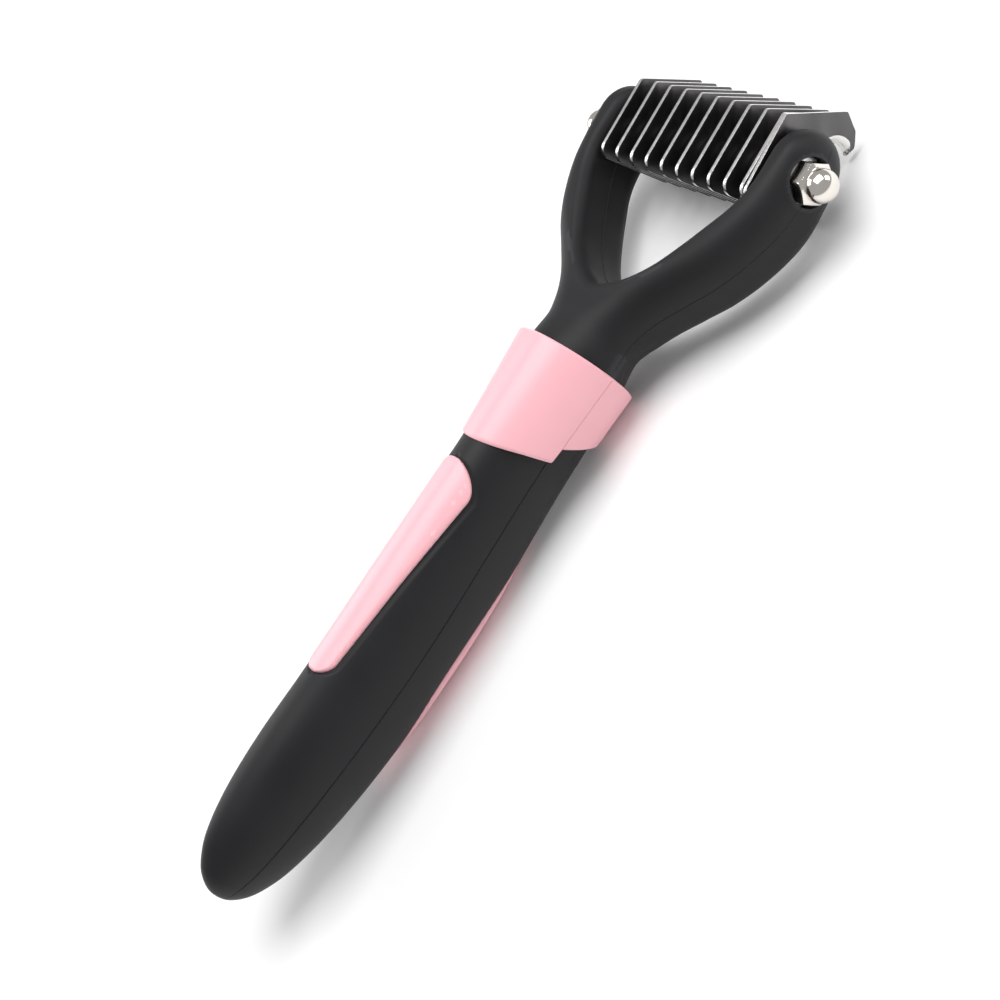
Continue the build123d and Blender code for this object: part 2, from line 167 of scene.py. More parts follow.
STRIP_END_Y = -148.0
STRIP_HALF_X = 6.4
INLAY_SINK = 0.5
INLAY_ROUND = 0.75
INLAY_ROOT = -1.5
GROOVE_DEPTH = 0.42
GROOVE_HALF_WIDTH = 0.75
SEAM_ROUND = 0.22
SEAM_SCALE = 12
CORE_GAP = 0.1
CORE_WALL = 1.2


# ---- light: name, place and target in metres, width, height and power of each panel ----
WORLD_STRENGTH = 0.45
LIGHT_PANELS = [
    ("overhead", (0.05, 0.25, 0.75), (0, 0, 0.02), 0.55, 0.7, 5.3),
    ("head_side", (0.35, 0.6, 0.3), (0, 0.05, 0.02), 0.3, 0.3, 1.0),
    ("left_side", (-0.5, -0.1, 0.35), (0, 0, 0.02), 0.3, 0.5, 1.2),
]

# ---- camera: its place about the axle in millimetres, its directions and its lens ----
CAMERA_PLACE = (298.15, -93.13, 245.32)
CAMERA_RIGHT = (0.55431, 0.5273, -0.64397)
CAMERA_UP = (-0.319, 0.84923, 0.42078)
CAMERA_BACK = (0.76875, -0.02781, 0.63894)
CAMERA_LENS = 68.36


# ================================================================ numbers and curves
def curve_through(points):
    """A smooth function through (place, value) points, for places between the first and last."""
    points = sorted(points)
    slopes = []
    for k in range(len(points)):
        before = points[max(k - 1, 0)]
        after = points[min(k + 1, len(points) - 1)]
        slopes.append((after[1] - before[1]) / (after[0] - before[0]))

    def value(place):
        place = min(max(place, points[0][0]), points[-1][0])
        k = 0
        while k < len(points) - 2 and place > points[k + 1][0]:
            k += 1
        (x0, y0), (x1, y1) = points[k], points[k + 1]
        span = x1 - x0
        t = (place - x0) / span
        h00 = 2 * t**3 - 3 * t**2 + 1
        h10 = t**3 - 2 * t**2 + t
        h01 = 3 * t**2 - 2 * t**3
        h11 = t**3 - t**2
        return h00 * y0 + h10 * span * slopes[k] + h01 * y1 + h11 * span * slopes[k + 1]

    return value


def steps(start, end, count):
    """Evenly spaced values from start to end, both included."""
    return [start + (end - start) * k / (count - 1) for k in range(count)]


def eased_steps(start, end, count):
    """Values from start to end, closer together at both ends."""
    return [start + (end - start) * (1 - cos(pi * k / (count - 1))) / 2 for k in range(count)]


def rounded_edge(distance, radius):
    """Height of a quarter-round edge: 0 at the very edge, 1 from one radius inwards."""
    inward = min(max(distance / radius, 0.0), 1.0)
    return sqrt(1 - (1 - inward) ** 2)


def rounded_outline(corners):
    """A closed outline from (x, y, radius) corners, with arcs of 8 steps at rounded corners."""
    outline = []
    for k, (x, y, radius) in enumerate(corners):
        here = Vector((x, y))
        if radius == 0:
            outline.append((x, y))
            continue
        before = (Vector(corners[k - 1][:2]) - here).normalized()
        after = (Vector(corners[(k + 1) % len(corners)][:2]) - here).normalized()
        half = acos(before.dot(after)) / 2
        centre = here + (before + after).normalized() * radius / sin(half)
        first = here + before * radius / tan(half) - centre
        last = here + after * radius / tan(half) - centre
        turn = atan2(first.cross(last), first.dot(last))
        for step in steps(0, turn, 9):
            arm = Matrix.Rotation(step, 2) @ first
            outline.append(tuple(centre + arm))
    return outline


# ================================================================ mesh building
def mesh_piece(name, points, faces, body, materials, replaced):
    """A mesh from points in millimetres about the axle, riding on a body in place of CAD nodes."""
    mesh = bpy.data.meshes.new(name)
    mesh.from_pydata([AXLE + Vector(point) * MM for point in points], [], faces)
    piece = bpy.data.objects.new(name, mesh)
    bpy.context.scene.collection.objects.link(piece)
    for material in materials:
        mesh.materials.append(material)
    tidy_normals(piece)
    return settle(piece, body, replaced)


def tidy_normals(piece):
    """Merges doubled points and turns every face outwards."""
    cage = bmesh.new()
    cage.from_mesh(piece.data)
    bmesh.ops.remove_doubles(cage, verts=cage.verts, dist=0.002 * MM)
    bmesh.ops.recalc_face_normals(cage, faces=cage.faces)
    cage.to_mesh(piece.data)
    cage.free()


def settle(piece, body, replaced):
    """Attaches the piece to the body it rides on and hides the CAD nodes it stands for."""
    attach(piece, body)
    if replaced:
        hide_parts(*replaced)
    return piece


def smooth(piece, sharp_degrees=35):
    """Smooth shading that keeps edges sharper than an angle."""
    for face in piece.data.polygons:
        face.use_smooth = True
    piece.data.set_sharp_from_angle(angle=radians(sharp_degrees))
    return piece


def grid_faces(rows, columns, first=0, closed=False):
    """Quads over a grid of points stored row by row."""
    faces = []
    for r in range(rows - 1):
        for c in range(columns if closed else columns - 1):
            a = first + r * columns + c
            b = first + r * columns + (c + 1) % columns
            faces.append((a, b, b + columns, a + columns))
    return faces


def slab(outer, inner):
    """A closed wall between two grids of the same size, joined all round the border."""
    rows, columns = len(outer), len(outer[0])
    points = [point for row in outer for point in row] + [point for row in inner for point in row]
    under = rows * columns
    faces = grid_faces(rows, columns) + grid_faces(rows, columns, under)
    border = [c for c in range(columns)]
    border += [r * columns + columns - 1 for r in range(1, rows)]
    border += [(rows - 1) * columns + c for c in range(columns - 2, -1, -1)]
    border += [r * columns for r in range(rows - 2, 0, -1)]
    for k, a in enumerate(border):
        b = border[(k + 1) % len(border)]
        faces.append((a, b, b + under, a + under))
    return points, faces


def turned(profile, around=64):
    """A closed ring or solid of revolution about the axle line, from (x, radius) points."""
    points = []
    for x, radius in profile:
        for k in range(around):
            angle = 2 * pi * k / around
            points.append((x, radius * cos(angle), radius * sin(angle)))
    faces = grid_faces(len(profile), around, closed=True)
    if profile[0][1] < 0.01 and profile[-1][1] < 0.01:
        return points, faces
    last = (len(profile) - 1) * around
    for k in range(around):
        after = (k + 1) % around
        faces.append((k, after, last + after, last + k))
    return points, faces


# ================================================================ materials
def new_material(name):
    """A node material and its shader."""
    material = bpy.data.materials.new(name)
    material.use_nodes = True
    return material, material.node_tree.nodes["Principled BSDF"]


def place_texture(tree, kind, scale, stretch=(1, 1, 1)):
    """A procedural texture in the object's own coordinates."""
    source = tree.nodes.new("ShaderNodeTexCoord")
    mapping = tree.nodes.new("ShaderNodeMapping")
    mapping.inputs["Scale"].default_value = stretch
    texture = tree.nodes.new(kind)
    texture.inputs["Scale"].default_value = scale
    tree.links.new(source.outputs["Object"], mapping.inputs["Vector"])
    tree.links.new(mapping.outputs["Vector"], texture.inputs["Vector"])
    return texture


def spread(tree, value, low, high, target):
    """Drives a number on the shader from a 0 to 1 texture value."""
    ranged = tree.nodes.new("ShaderNodeMapRange")
    ranged.inputs["From Min"].default_value = 0.3
    ranged.inputs["From Max"].default_value = 0.7
    ranged.inputs["To Min"].default_value = low
    ranged.inputs["To Max"].default_value = high
    tree.links.new(value, ranged.inputs["Value"])
    tree.links.new(ranged.outputs["Result"], target)


def tint(tree, value, low, high, target):
    """Mixes two colours by a 0 to 1 texture value."""
    ramp = tree.nodes.new("ShaderNodeValToRGB")
    ramp.color_ramp.elements[0].position = 0.3
    ramp.color_ramp.elements[0].color = (*low, 1)
    ramp.color_ramp.elements[1].position = 0.7
    ramp.color_ramp.elements[1].color = (*high, 1)
    tree.links.new(value, ramp.inputs["Fac"])
    tree.links.new(ramp.outputs["Color"], target)
    return ramp


def wear_edges(tree, shader, ramp, worn):
    """Lightens exposed edges, found by how far the surface sticks out."""
    geometry = tree.nodes.new("ShaderNodeNewGeometry")
    edge = tree.nodes.new("ShaderNodeMapRange")
    edge.inputs["From Min"].default_value = 0.53
    edge.inputs["From Max"].default_value = 0.62
    mix = tree.nodes.new("ShaderNodeMix")
    mix.data_type = "RGBA"
    mix.inputs["B"].default_value = (*worn, 1)
    tree.links.new(geometry.outputs["Pointiness"], edge.inputs["Value"])
    tree.links.new(edge.outputs["Result"], mix.inputs["Factor"])
    tree.links.new(ramp.outputs["Color"], mix.inputs["A"])
    tree.links.new(mix.outputs["Result"], shader.inputs["Base Color"])


def bump(tree, shader, value, strength, distance):
    """Fine relief from a texture."""
    relief = tree.nodes.new("ShaderNodeBump")
    relief.inputs["Strength"].default_value = strength
    relief.inputs["Distance"].default_value = distance * MM
    tree.links.new(value, relief.inputs["Height"])
    tree.links.new(relief.outputs["Normal"], shader.inputs["Normal"])


def rubber(name, low, high, rough_low, rough_high):
    """Moulded soft-touch rubber: nearly black, finely grained, a little shinier where handled."""
    material, shader = new_material(name)
    tree = material.node_tree
    patches = place_texture(tree, "ShaderNodeTexNoise", 60)
    ramp = tint(tree, patches.outputs["Fac"], low, high, shader.inputs["Base Color"])
    wear_edges(tree, shader, ramp, [value * 2.2 for value in high])
    spread(tree, patches.outputs["Fac"], rough_low, rough_high, shader.inputs["Roughness"])
    grain = place_texture(tree, "ShaderNodeTexNoise", 5200)
    bump(tree, shader, grain.outputs["Fac"], 0.25, 0.03)
    shader.inputs["Specular IOR Level"].default_value = 0.3
    shader.inputs["Sheen Weight"].default_value = 0.03
    shader.inputs["Sheen Roughness"].default_value = 0.4
    return material


def plastic(name, low, high):
    """Injection-moulded pink plastic with a satin gloss and faint flow marks."""
    material, shader = new_material(name)
    tree = material.node_tree
    flow = place_texture(tree, "ShaderNodeTexNoise", 45, (1, 0.35, 1))
    ramp = tint(tree, flow.outputs["Fac"], low, high, shader.inputs["Base Color"])
    wear_edges(tree, shader, ramp, [min(value * 1.12, 0.98) for value in high])
    spread(tree, flow.outputs["Fac"], 0.3, 0.38, shader.inputs["Roughness"])
    orange_peel = place_texture(tree, "ShaderNodeTexNoise", 1400)
    bump(tree, shader, orange_peel.outputs["Fac"], 0.12, 0.02)
    shader.inputs["Subsurface Weight"].default_value = 0.12
    shader.inputs["Subsurface Radius"].default_value = (1.0, 0.45, 0.35)
    shader.inputs["Subsurface Scale"].default_value = 1.2 * MM
    return material


def metal(name, low, high, rough_low, rough_high, stretch, scale, relief):
    """Metal with directional brushing: low and high are its colour's range."""
    material, shader = new_material(name)
    tree = material.node_tree
    shader.inputs["Metallic"].default_value = 1.0
    brushing = place_texture(tree, "ShaderNodeTexNoise", scale, stretch)
    brushing.inputs["Detail"].default_value = 6
    patches = place_texture(tree, "ShaderNodeTexNoise", 120)
    tint(tree, patches.outputs["Fac"], low, high, shader.inputs["Base Color"])
    spread(tree, brushing.outputs["Fac"], rough_low, rough_high, shader.inputs["Roughness"])
    bump(tree, shader, brushing.outputs["Fac"], relief, 0.02)
    return material


FORK_RUBBER = rubber("fork_rubber", (0.0075, 0.0078, 0.009), (0.0105, 0.0108, 0.0122), 0.5, 0.6)
GRIP_RUBBER = rubber("grip_rubber", (0.007, 0.0073, 0.0085), (0.01, 0.0103, 0.0118), 0.48, 0.58)
PINK = plastic("pink_plastic", (0.9, 0.455, 0.505), (0.93, 0.485, 0.535))
# Blade faces: steel painted nearly black, a painted shade for the dark gaps and dark reflections between
# the stacked blades.
BLADE_FACE_PAINTED_SHADE = metal(
    "blade_face_painted_shade", (0.1, 0.098, 0.098), (0.15, 0.147, 0.146), 0.3, 0.42, (1, 1, 14), 900, 0.12
)
# Blade edges and ground hook: partly real ground steel, painted brighter than steel as a painted
# highlight along every plate edge.
BLADE_EDGE_PAINTED_HIGHLIGHT = metal("blade_edge_ground_and_painted_highlight", (0.78, 0.77, 0.75), (0.88, 0.87, 0.85), 0.2, 0.3, (1, 1, 6), 900, 0.05)
NICKEL = metal("nickel_plate", (0.74, 0.7, 0.65), (0.8, 0.76, 0.71), 0.08, 0.15, (1, 1, 1), 700, 0.03)
BRIGHT = metal("bright_steel", (0.5, 0.5, 0.5), (0.62, 0.62, 0.61), 0.22, 0.34, (12, 1, 1), 500, 0.08)
DARK = metal("dark_steel", (0.05, 0.05, 0.052), (0.09, 0.09, 0.092), 0.35, 0.5, (12, 1, 1), 500, 0.08)
BRASS = metal("bush_brass", (0.6, 0.43, 0.2), (0.7, 0.52, 0.27), 0.25, 0.38, (10, 1, 1), 500, 0.08)
ZINC = metal("screw_steel", (0.42, 0.42, 0.44), (0.55, 0.55, 0.57), 0.28, 0.4, (1, 1, 8), 500, 0.08)


# ================================================================ blades
def blade_outline():
    """The hooked plate's edge in (u towards the hooks, v towards the head), and its notch share."""
    head_v = TOP_CORNER_V + TOP_SLOPE * (HEAD_CORNER_U - BACK_U)
    toe_v = BOTTOM_V + BOTTOM_SLOPE * (TOE_U - BACK_U)
    crown = curve_through([(0.0, 16.0), (0.45, 13.5), (0.8, 12.6), (1.0, TIP[1])])
    reach = curve_through([(0.0, 11.7), (0.45, 13.42), (0.8, 13.42), (1.0, TIP[0])])
    outline = rounded_outline([
        (TOE_U, toe_v, 1.5),
        (BACK_U, BOTTOM_V, 2.6),
        (BACK_U, TOP_CORNER_V, 1.1),
        (HEAD_CORNER_U, head_v, 0.8),
        (11.7, 16.0, 0),
    ])
    outline += [(reach(t), crown(t)) for t in steps(0.08, 1.0, 12)]
    shares = [0.0] * len(outline)
    for angle in steps(57.0, 302.7, 49):
        u = NOTCH[0] + NOTCH_R * cos(radians(angle))
        v = NOTCH[1] + NOTCH_R * sin(radians(angle))
        outline.append((u, v))
        rise = min(max((angle - 57.0) / 22.0, 0.12), 1.0)
        fall = min(max((212.0 - angle) / 8.0, 0.0), 1.0)
        shares.append(min(rise, fall))
    toe_corner = rounded_outline([(NOTCH[0], NOTCH[1], 0), (TOE_U, TOE_TOP_V, 1.0), (TOE_U, toe_v, 0)])
    outline += toe_corner[1:-1]
    shares += [0.0] * (len(toe_corner) - 2)
    return outline, shares


def add_loop(cage, outline, x):
    """A closed loop of edges at one x, from (u, v) points."""
    ring = [cage.verts.new((x, v, -u)) for u, v in outline]
    for k, vertex in enumerate(ring):
        cage.edges.new((ring[k - 1], vertex))
    return ring


def bridge(cage, one, two, material_index):
    """Quads between two loops of the same length."""
    for k in range(len(one)):
        face = cage.faces.new((one[k - 1], one[k], two[k], two[k - 1]))
        face.material_index = material_index


def cap(cage, rim, bore):
    """Fills the flat face between a rim and a bore."""
    loops = set(rim) | set(bore)
    edges = [edge for edge in cage.edges if edge.verts[0] in loops and edge.verts[1] in loops]
    flat = [edge for edge in edges if abs(edge.verts[0].co.x - edge.verts[1].co.x) < 1e-6]
    made = bmesh.ops.triangle_fill(cage, use_beauty=True, edges=flat)["geom"]
    for item in made:
        if isinstance(item, bmesh.types.BMFace):
            item.material_index = 0


def blade_mesh(thick):
    """One blade in millimetres about its own middle: faces painted dark as shade between the blades,
    edges and ground hook bright ground steel with a painted highlight.
    """
    outline, shares = blade_outline()
    ground = []
    for (u, v), share in zip(outline, shares):
        away = Vector((u - NOTCH[0], v - NOTCH[1])).normalized() * GROUND_WIDTH * share
        ground.append((u + away.x, v + away.y))
    bore = [(BORE_R * cos(2 * pi * k / 40), BORE_R * sin(2 * pi * k / 40)) for k in range(40)]
    cage = bmesh.new()
    left = add_loop(cage, outline, -thick / 2)
    middle = add_loop(cage, outline, thick / 2 - GROUND_DEPTH)
    right = add_loop(cage, ground, thick / 2)
    bore_left = add_loop(cage, bore, -thick / 2)
    bore_right = add_loop(cage, bore, thick / 2)
    # Side walls and the ground hook facet take material 1 (bright steel with a painted highlight); the
    # flat faces keep material 0 (painted shade).
    bridge(cage, left, middle, 1)
    bridge(cage, middle, right, 1)
    bridge(cage, bore_left, bore_right, 0)
    cap(cage, left, bore_left)
    cap(cage, right, bore_right)
    bmesh.ops.recalc_face_normals(cage, faces=cage.faces)
    mesh = bpy.data.meshes.new("blade")
    cage.to_mesh(mesh)
    cage.free()
    return mesh


def soften(piece, width, segments, edge_material):
    """Applies a small bevel to every sharp edge."""
    modifier = piece.modifiers.new("bevel", "BEVEL")
    modifier.width = width
    modifier.segments = segments
    modifier.limit_method = "ANGLE"
    modifier.angle_limit = radians(30)
    modifier.material = edge_material
    return baked(piece)


def baked(piece):
    """Replaces the piece's mesh with what its modifiers make of it."""
    bpy.context.view_layer.update()
    shaped = piece.evaluated_get(bpy.context.evaluated_depsgraph_get())
    mesh = bpy.data.meshes.new_from_object(shaped)
    piece.modifiers.clear()
    piece.data = mesh
    return piece


def make_blades():
    """Eleven blades at the places of their CAD nodes, the last one twisted a little further."""
    for name in BLADE_NAMES:
        low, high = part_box(name)
        thick = (high.x - low.x) / MM
        angle = BLADE_SET_ANGLE + (LAST_BLADE_TWIST if name == BLADE_NAMES[-1] else 0)
        mesh = blade_mesh(thick)
        piece = bpy.data.objects.new(name + "_plate", mesh)
        bpy.context.scene.collection.objects.link(piece)
        # The faces' material carries painted shade; the edges' material, also given to the bevels,
        # carries a painted highlight.
        mesh.materials.append(BLADE_FACE_PAINTED_SHADE)
        mesh.materials.append(BLADE_EDGE_PAINTED_HIGHLIGHT)
        soften(piece, 0.07, 2, 1)
        place = Vector(((low.x + high.x) / 2, AXLE.y, AXLE.z))
        turn = Matrix.Rotation(radians(angle), 4, "X")
        piece.data.transform(Matrix.Translation(place) @ turn @ Matrix.Scale(MM, 4))
        smooth(piece)
        settle(piece, "blade_pack", [name])


# ================================================================ turned parts
def make_ring(node, body, bore_r, material, edge=0.08):
    """A washer or spacer with eased edges, at the place of its CAD node."""
    low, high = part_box(node)
    left, right = (low.x - AXLE.x) / MM, (high.x - AXLE.x) / MM
    outer = (high.z - low.z) / 2 / MM
    edge = min(edge, (right - left) / 3)
    profile = [
        (left, bore_r),
        (left, outer - edge),
        (left + 0.3 * edge, outer - 0.3 * edge),
        (left + edge, outer),
        (right - edge, outer),
        (right - 0.3 * edge, outer - 0.3 * edge),
        (right, outer - edge),
        (right, bore_r),
    ]
    points, faces = turned(profile)
    piece = mesh_piece(node + "_ring", points, faces, body, [material], [node])
    smooth(piece, 30)


def nut_radius(x, angle, hex_height):
    """Radius of the chamfered hexagon at a height above its seat and an angle."""
    half_flat = NUT_ACROSS_FLATS / 2
    sixth = pi / 3
    turn = (angle - radians(NUT_TURN)) % sixth - sixth / 2
    flat = half_flat / cos(turn)
    corner = half_flat / cos(sixth / 2)
    crown = corner - 0.08 - max(0.0, x - (hex_height - 0.55)) * 1.75
    foot = corner - 0.08 - max(0.0, 0.25 - x) * 1.6
    return min(flat, crown, foot)


def make_cap_nut(side):
    """An acorn nut: chamfered hexagon, small shoulder, polished dome and blind bore."""
    node = f"cap_nut_{side}"
    low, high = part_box(node)
    toward = 1 if side == "right" else -1
    seat = (low.x if toward > 0 else high.x) / MM - AXLE.x / MM
    around = 240
    heights = [0.0, 0.06, 0.12, 0.18, 0.25, 0.8, 1.6, 2.4]
    heights += [NUT_HEX_HEIGHT - 0.55 + 0.55 * k / 8 for k in range(9)]
    rows = []
    for x in heights:
        rows.append([(x, nut_radius(x, 2 * pi * k / around, NUT_HEX_HEIGHT)) for k in range(around)])
    dome_x = NUT_HEX_HEIGHT + NUT_DOME_LIFT
    rows.append([(NUT_HEX_HEIGHT, NUT_DOME_R + 0.12)] * around)
    rows.append([(NUT_HEX_HEIGHT + 0.1, NUT_DOME_R)] * around)
    for angle in steps(0, pi / 2, 22):
        rows.append([(dome_x + NUT_DOME_R * sin(angle), max(NUT_DOME_R * cos(angle), 1e-4))] * around)
    bore = [[(x, BORE_R)] * around for x in (0.0, 5.9)]
    tip = [[(6.6, 1e-4)] * around]
    points = []
    for row in rows + tip + bore[::-1]:
        for k, (x, radius) in enumerate(row):
            angle = 2 * pi * k / around
            points.append((seat + toward * x, radius * cos(angle), radius * sin(angle)))
    count = len(rows) + len(tip) + len(bore)
    faces = grid_faces(len(rows), around, closed=True)
    faces += grid_faces(len(tip) + len(bore), around, len(rows) * around, closed=True)
    last = (count - 1) * around
    for k in range(around):
        after = (k + 1) % around
        faces.append((k, after, last + after, last + k))
    piece = mesh_piece(node + "_acorn", points, faces, f"{side}_nut", [NICKEL], [node])
    smooth(piece, 24)


def make_hardware():
    """Washers, spacers and nuts, with the stud, bushes, screws and pin kept from the CAD."""
    for side in ("right", "left"):
        make_ring(f"washer_{side}", f"{side}_washer", BORE_R, BRIGHT)
        make_cap_nut(side)
    for k in range(1, 10):
        make_ring(f"spacer_{k:02d}", "blade_pack", BORE_R, DARK, 0.15)
    make_ring("end_spacer_left", "blade_pack", BORE_R, DARK, 0.15)
    make_ring("end_spacer_right", "blade_pack", BORE_R, DARK)
    make_ring("shim_washer", "blade_pack", BORE_R, BRIGHT)
    kept = {
        "axle_stud": BRIGHT,
        "arm_bush_right": BRASS,
        "arm_bush_left": BRASS,
        "shell_screws": ZINC,
        "tang_pin": ZINC,
    }
    for node, material in kept.items():
        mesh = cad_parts[node].data
        mesh.materials.clear()
        mesh.materials.append(material)


# ================================================================ fork
outer_x = curve_through([(t, outer[0]) for t, (outer, inner) in enumerate(FORK_PLAN)])
outer_y = curve_through([(t, outer[1]) for t, (outer, inner) in enumerate(FORK_PLAN)])
inner_wall = [inner for outer, inner in FORK_PLAN[:CROTCH + 1]] + [BEYOND_CROTCH]
wall_x = curve_through([(t, x) for t, (x, y) in enumerate(inner_wall)])
wall_y = curve_through([(t, y) for t, (x, y) in enumerate(inner_wall)])
middle_y = curve_through(
    [(CROTCH, FORK_PLAN[CROTCH][1][1] - INNER_ROUND)]
    + [(t, inner[1]) for t, (outer, inner) in enumerate(FORK_PLAN) if t > CROTCH]
)
front_z = curve_through(FRONT_Z)
back_z = curve_through(BACK_Z)
front_round = curve_through(FRONT_ROUND)
back_round = curve_through(BACK_ROUND)
back_rise = curve_through(BACK_RISE)


def into_wall(along_x, along_y, t, turn):
    """A point on a wall of the fork's plan and the direction from it into the moulding."""
    step = 0.01
    here = Vector((along_x(t), along_y(t)))
    ahead = Vector((along_x(t + step) - along_x(t - step), along_y(t + step) - along_y(t - step)))
    ahead.normalize()
    return here, Vector((-ahead.y, ahead.x)) * turn


def half_section(t, height_at, corner, rise):
    """Half a section of the fork, from its outer mould line over one side to its inner wall."""
    outer, outer_in = into_wall(outer_x, outer_y, t, -1)
    if t <= CROTCH:
        wall, wall_in = into_wall(wall_x, wall_y, t, 1)
        if t == CROTCH:
            wall.x = wall_in.x = 0.0
    else:
        wall, wall_in = Vector((0.0, middle_y(t))), Vector((0.0, 0.0))
    places = [(outer, share * (1 - rise)) for share in steps(0, 1, 4)[:-1]]
    for angle in steps(0, pi / 2, 16):
        places.append((outer + outer_in * corner * (1 - cos(angle)), 1 - rise + rise * sin(angle)))
    top_outer, top_inner = places[-1][0], wall + wall_in * INNER_ROUND
    places += [(top_outer.lerp(top_inner, share), 1.0) for share in steps(0, 1, 7)[1:-1]]
    for angle in steps(pi / 2, 0, 10):
        lift = 1 - INNER_RISE + INNER_RISE * sin(angle)
        places.append((wall + wall_in * INNER_ROUND * (1 - cos(angle)), lift))
    places += [(wall, share * (1 - INNER_RISE)) for share in steps(1, 0, 5)[1:]]
    return [(place.x, place.y, MOULD_Z + lift * (height_at(place.y) - MOULD_Z)) for place, lift in places]


def fork_skin():
    """Both halves of the fork's outer skin as points and faces."""
    rows = []
    for k in range(ROWS_PER_STATION * (len(FORK_PLAN) - 1) + 1):
        t = k / ROWS_PER_STATION
        front = half_section(t, front_z, front_round(t), 1.0)
        back = half_section(t, back_z, back_round(t), back_rise(t))
        rows.append(front + back[-2:0:-1])
    count = len(rows[0])
    points = [point for row in rows for point in row]
    faces = grid_faces(len(rows), count, closed=True)
    end = half_section(0, front_z, front_round(0), 1.0)
    first = len(points)
    for turn in steps(0, pi, END_ROWS):
        for x, y, z in end:
            points.append((x, y + (z - MOULD_Z) * sin(turn), MOULD_Z + (z - MOULD_Z) * cos(turn)))
    faces += grid_faces(END_ROWS, len(end), first)
    faces = [face for face in faces if max(points[index][0] for index in face) > 1e-6]
    total = len(points)
    points += [(-x, y, z) for x, y, z in points]
    faces += [tuple(total + index for index in face) for face in faces]
    return points, faces


def cut_hole(piece, radius, middle, length, axis):
    """Cuts a round hole along the X or Z axis, its middle in millimetres about the axle."""
    cutter_mesh = bpy.data.meshes.new("cutter")
    cage = bmesh.new()
    size = radius * MM
    bmesh.ops.create_cone(cage, cap_ends=True, segments=96, radius1=size, radius2=size, depth=length * MM)
    cage.to_mesh(cutter_mesh)
    cage.free()
    cutter = bpy.data.objects.new("cutter", cutter_mesh)
    bpy.context.scene.collection.objects.link(cutter)
    turn = Matrix.Rotation(pi / 2 if axis == "X" else 0, 4, "Y")
    cutter.matrix_world = Matrix.Translation(AXLE + Vector(middle) * MM) @ turn
    cut = piece.modifiers.new("hole", "BOOLEAN")
    cut.operation = "DIFFERENCE"
    cut.solver = "EXACT"
    cut.object = cutter
    baked(piece)
    bpy.data.objects.remove(cutter)


def make_fork():
    """The moulded Y-fork: one skin with full round edges, bored at both arm ends."""
    points, faces = fork_skin()
    piece = mesh_piece("fork_moulding", points, faces, "handle", [FORK_RUBBER], ["fork"])
    cage = bmesh.new()
    cage.from_mesh(piece.data)
    bmesh.ops.holes_fill(cage, edges=[edge for edge in cage.edges if edge.is_boundary])
    bmesh.ops.recalc_face_normals(cage, faces=cage.faces)
    cage.to_mesh(piece.data)
    cage.free()
    for toward in (1, -1):
        cut_hole(piece, FORK_BORE_R, (30.0 * toward, 0, 0), 20.0, "X")
        cut_hole(piece, NUT_RECESS_R, ((NUT_RECESS_X + 5.0) * toward, 0, 0), 10.0, "X")
    soften(piece, FORK_EDGE * MM, 3, 0)
    smooth(piece, 45)
    add_mould_lines(BVHTree.FromPolygons(
        [vertex.co for vertex in piece.data.vertices],
        [face.vertices for face in piece.data.polygons],
    ))
    add_tang()


def add_tang():
    """The fork's square tang inside the handle, with the hole for its pin."""
    low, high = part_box("tang_pin")
    pin_y = ((low.y + high.y) / 2 - AXLE.y) / MM
    pin_r = (high.y - low.y) / 2 / MM
    points = [(x, y, z) for x in TANG_X for y in TANG_Y for z in TANG_Z]
    faces = [(0, 1, 3, 2), (4, 6, 7, 5), (0, 4, 5, 1), (2, 3, 7, 6), (0, 2, 6, 4), (1, 5, 7, 3)]
    piece = mesh_piece("fork_tang", points, faces, "handle", [FORK_RUBBER], [])
    soften(piece, TANG_ROUND * MM, 4, 0)
    cut_hole(piece, pin_r + 0.02, (0, pin_y, 0), 20.0, "Z")
    smooth(piece, 40)


def surface_points(tree, starts, directions):
    """Where rays from outside first meet the fork, in millimetres about the axle."""
    found = []
    for start, direction in zip(starts, directions):
        hit = tree.ray_cast(AXLE + Vector(start) * MM, Vector(direction))[0]
        if hit is not None:
            found.append((hit - AXLE) / MM)
    return found


def add_mould_lines(tree):
    """The thin flash line round the fork at mid-depth, outside both arms and round the gap."""
    lines = {}
    for name, sign in (("right", 1), ("left", -1)):
        ys = steps(7.6, -49.0, 150)
        starts = [(sign * 45.0, y, MOULD_Z) for y in ys]
        lines[f"outer_{name}"] = surface_points(tree, starts, [(-sign, 0, 0)] * len(ys))
    angles = steps(radians(-215), radians(35), 220)
    starts = [(0.0, -11.0, MOULD_Z)] * len(angles)
    directions = [(cos(angle), sin(angle), 0.0) for angle in angles]
    lines["inner"] = surface_points(tree, starts, directions)
    for name, points in lines.items():
        add_flash(f"fork_flash_{name}", points, FLASH_R, FORK_RUBBER)


def add_flash(name, points, radius, material):
    """A fine raised bead along points on a surface."""
    curve = bpy.data.curves.new(name, "CURVE")
    curve.dimensions = "3D"
    curve.bevel_depth = radius * MM
    curve.bevel_resolution = 2
    curve.use_fill_caps = True
    line = curve.splines.new("POLY")
    line.points.add(len(points) - 1)
    for target, point in zip(line.points, points):
        target.co = (*(AXLE + Vector(point) * MM), 1)
    holder = bpy.data.objects.new(name + "_line", curve)
    bpy.context.scene.collection.objects.link(holder)
    bpy.context.view_layer.update()
    mesh = bpy.data.meshes.new_from_object(holder.evaluated_get(bpy.context.evaluated_depsgraph_get()))
    bpy.data.objects.remove(holder)
    mesh.materials.clear()
    mesh.materials.append(material)
    piece = bpy.data.objects.new(name, mesh)
    bpy.context.scene.collection.objects.link(piece)
    settle(smooth(piece, 80), "handle", [])


